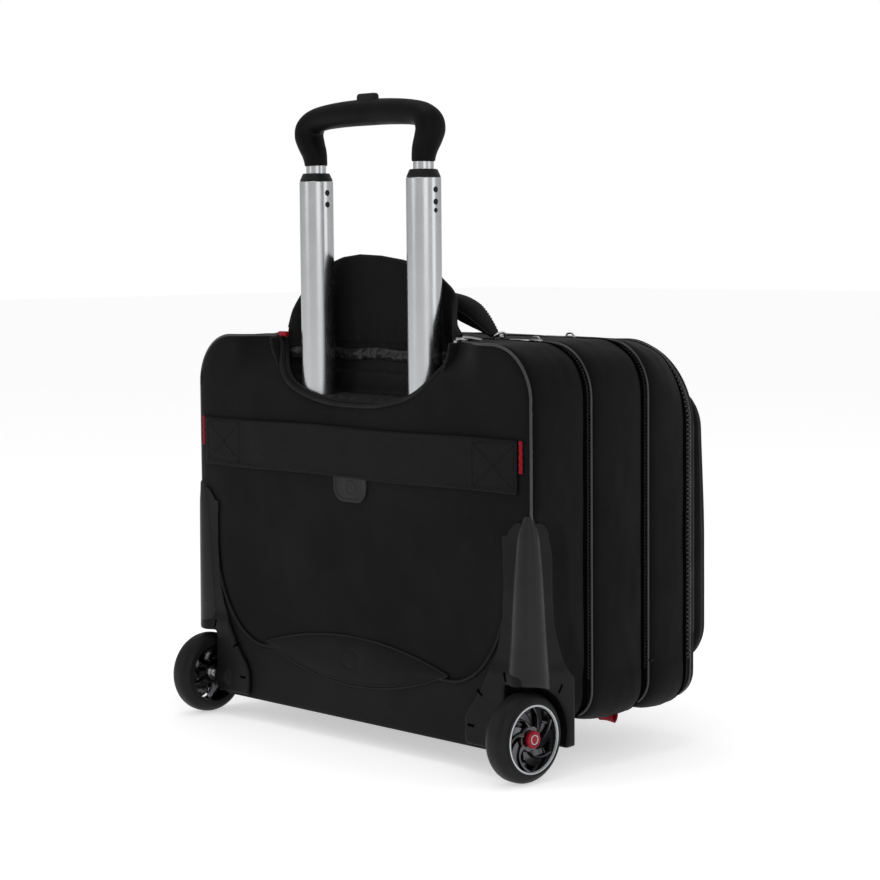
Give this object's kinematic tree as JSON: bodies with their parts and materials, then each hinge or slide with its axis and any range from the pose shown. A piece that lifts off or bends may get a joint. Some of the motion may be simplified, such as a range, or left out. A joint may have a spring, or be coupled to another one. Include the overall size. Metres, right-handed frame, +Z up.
{
  "type": "rolling laptop case",
  "caption": "Soft black laptop case with zipped sections, corner wheel housings, a telescopic trolley handle shown half raised, a carry handle and a luggage strap.",
  "frame": {"origin": "middle of the floor rectangle under the whole case as posed, on the floor", "axes": "+Z up, +Y towards the trolley side, -Y towards the front pockets, X across the case along the wheels' axles"},
  "size_m": [0.4532, 0.2784, 0.58],
  "materials": {
    "case_fabric": "tight black polyester weave, matt with a faint sheen",
    "strap_webbing": "flat black webbing, duller than the case",
    "lining": "thin black lining cloth, slightly wrinkled",
    "pad_fabric": "black ribbed grip cloth",
    "black_plastic": "fine-grained black moulding",
    "guard_plastic": "satin dark grey moulding",
    "soft_grip": "soft-touch black",
    "rubber_parts": "matt black rubber",
    "tube_aluminium": "bright satin, brushed along the tube",
    "steel": "plain bright steel",
    "zip_metal": "polished nickel",
    "zip_teeth": "black coil teeth",
    "red_webbing": "deep red ribbed webbing",
    "red_plastic": "deep red, glossy",
    "wheel_tyre": "black polyurethane with faint mould lines"
  },
  "bodies": {
    "case": {"back_panel": "case_fabric", "rear_gusset": "case_fabric", "compartment_back": "lining", "trolley_well": "lining", "base_tray": "black_plastic", "bottom_grip_pad": "pad_fabric", "luggage_strap": "strap_webbing", "strap_patch": "rubber_parts", "tube_foot_bracket": "black_plastic", "tube_top_bracket": "black_plastic", "flap_hem": "case_fabric", "wheel_guard_right": "guard_plastic", "wheel_guard_left": "guard_plastic", "axle_right": "steel", "axle_left": "steel", "outer_tube_right": "tube_aluminium", "outer_tube_left": "tube_aluminium", "edge_tab_right": "red_webbing", "edge_tab_left": "red_webbing", "handle_anchor_right": "zip_metal", "handle_anchor_left": "zip_metal", "zip_chain_rear": "zip_teeth"},
    "middle_section": {"middle_gusset": "case_fabric", "laptop_pad": "lining", "hang_tab": "red_webbing", "zip_chain_middle": "zip_teeth"},
    "front_section": {"front_gusset": "case_fabric", "front_foot": "rubber_parts", "zip_chain_front": "zip_teeth"},
    "cover": {"front_cover": "case_fabric", "zip_chain_pocket": "zip_teeth"},
    "pocket": {"pocket_face": "case_fabric"},
    "trolley_middle": {"middle_tube_right": "tube_aluminium", "middle_tube_left": "tube_aluminium", "tube_collar_right": "black_plastic", "tube_collar_left": "black_plastic"},
    "trolley_inner": {"grip": "soft_grip", "inner_tube_right": "tube_aluminium", "inner_tube_left": "tube_aluminium", "inner_bush_right": "black_plastic", "inner_bush_left": "black_plastic"},
    "release": {"release_button": "soft_grip", "push_rod_right": "steel", "push_rod_left": "steel"},
    "flap": {"flap": "case_fabric"},
    "carry_handle": {"carry_handle": "case_fabric"},
    "wheel_right": {"tyre_right": "wheel_tyre", "wheel_rim_right": "guard_plastic", "bearing_right": "steel", "hub_cap_right": "red_plastic"},
    "wheel_left": {"tyre_left": "wheel_tyre", "wheel_rim_left": "guard_plastic", "bearing_left": "steel", "hub_cap_left": "red_plastic"},
    "slider_rear": {"zip_slider_rear": "zip_metal"},
    "pull_rear": {"zip_pull_rear": "zip_metal"},
    "slider_middle": {"zip_slider_middle": "zip_metal"},
    "pull_middle": {"zip_pull_middle": "zip_metal"}
  },
  "joints": [
    {"name": "middle_section_open", "type": "hinge", "parent": "case", "child": "middle_section", "pos_m": [0, 0.02725, 0.042], "axis": [1, 0, 0], "range_deg": [0, 60]},
    {"name": "front_section_open", "type": "hinge", "parent": "middle_section", "child": "front_section", "pos_m": [0, -0.04475, 0.042], "axis": [1, 0, 0], "range_deg": [0, 50]},
    {"name": "cover_open", "type": "hinge", "parent": "front_section", "child": "cover", "pos_m": [0, -0.09975, 0.042], "axis": [1, 0, 0], "range_deg": [0, 40]},
    {"name": "pocket_open", "type": "hinge", "parent": "cover", "child": "pocket", "pos_m": [0, -0.11325, 0.067], "axis": [1, 0, 0], "range_deg": [0, 15]},
    {"name": "trolley_middle_slide", "type": "slide", "parent": "case", "child": "trolley_middle", "axis": [0, 0, 1], "range_m": [-0.205, 0]},
    {"name": "trolley_inner_slide", "type": "slide", "parent": "trolley_middle", "child": "trolley_inner", "axis": [0, 0, 1], "range_m": [0, 0.21]},
    {"name": "release_press", "type": "slide", "parent": "trolley_inner", "child": "release", "axis": [0, 0, 1], "range_m": [-0.0035, 0], "stiffness_N_per_m": 600, "springref_m": 0.003},
    {"name": "flap_tilt", "type": "hinge", "parent": "case", "child": "flap", "pos_m": [0, 0.05525, 0.3646], "axis": [1, 0, 0], "range_deg": [-3.5, 3]},
    {"name": "carry_handle_tilt", "type": "hinge", "parent": "case", "child": "carry_handle", "pos_m": [0, 0.03525, 0.368], "axis": [1, 0, 0], "range_deg": [-2, 60]},
    {"name": "wheel_right_spin", "type": "hinge", "parent": "case", "child": "wheel_right", "pos_m": [0.21275, 0.10125, 0.038], "axis": [1, 0, 0], "continuous": true},
    {"name": "wheel_left_spin", "type": "hinge", "parent": "case", "child": "wheel_left", "pos_m": [-0.21275, 0.10125, 0.038], "axis": [1, 0, 0], "continuous": true},
    {"name": "zip_slider_rear_run", "type": "slide", "parent": "case", "child": "slider_rear", "axis": [1, 0, 0], "range_m": [0, 0.3]},
    {"name": "zip_pull_rear_lift", "type": "hinge", "parent": "slider_rear", "child": "pull_rear", "pos_m": [-0.1507, 0.02725, 0.36335], "axis": [0, -1, 0], "range_deg": [0, 90]},
    {"name": "zip_slider_middle_run", "type": "slide", "parent": "middle_section", "child": "slider_middle", "axis": [1, 0, 0], "range_m": [0, 0.27]},
    {"name": "zip_pull_middle_lift", "type": "hinge", "parent": "slider_middle", "child": "pull_middle", "pos_m": [-0.1227, -0.04475, 0.36335], "axis": [0, -1, 0], "range_deg": [0, 90]}
  ]
}
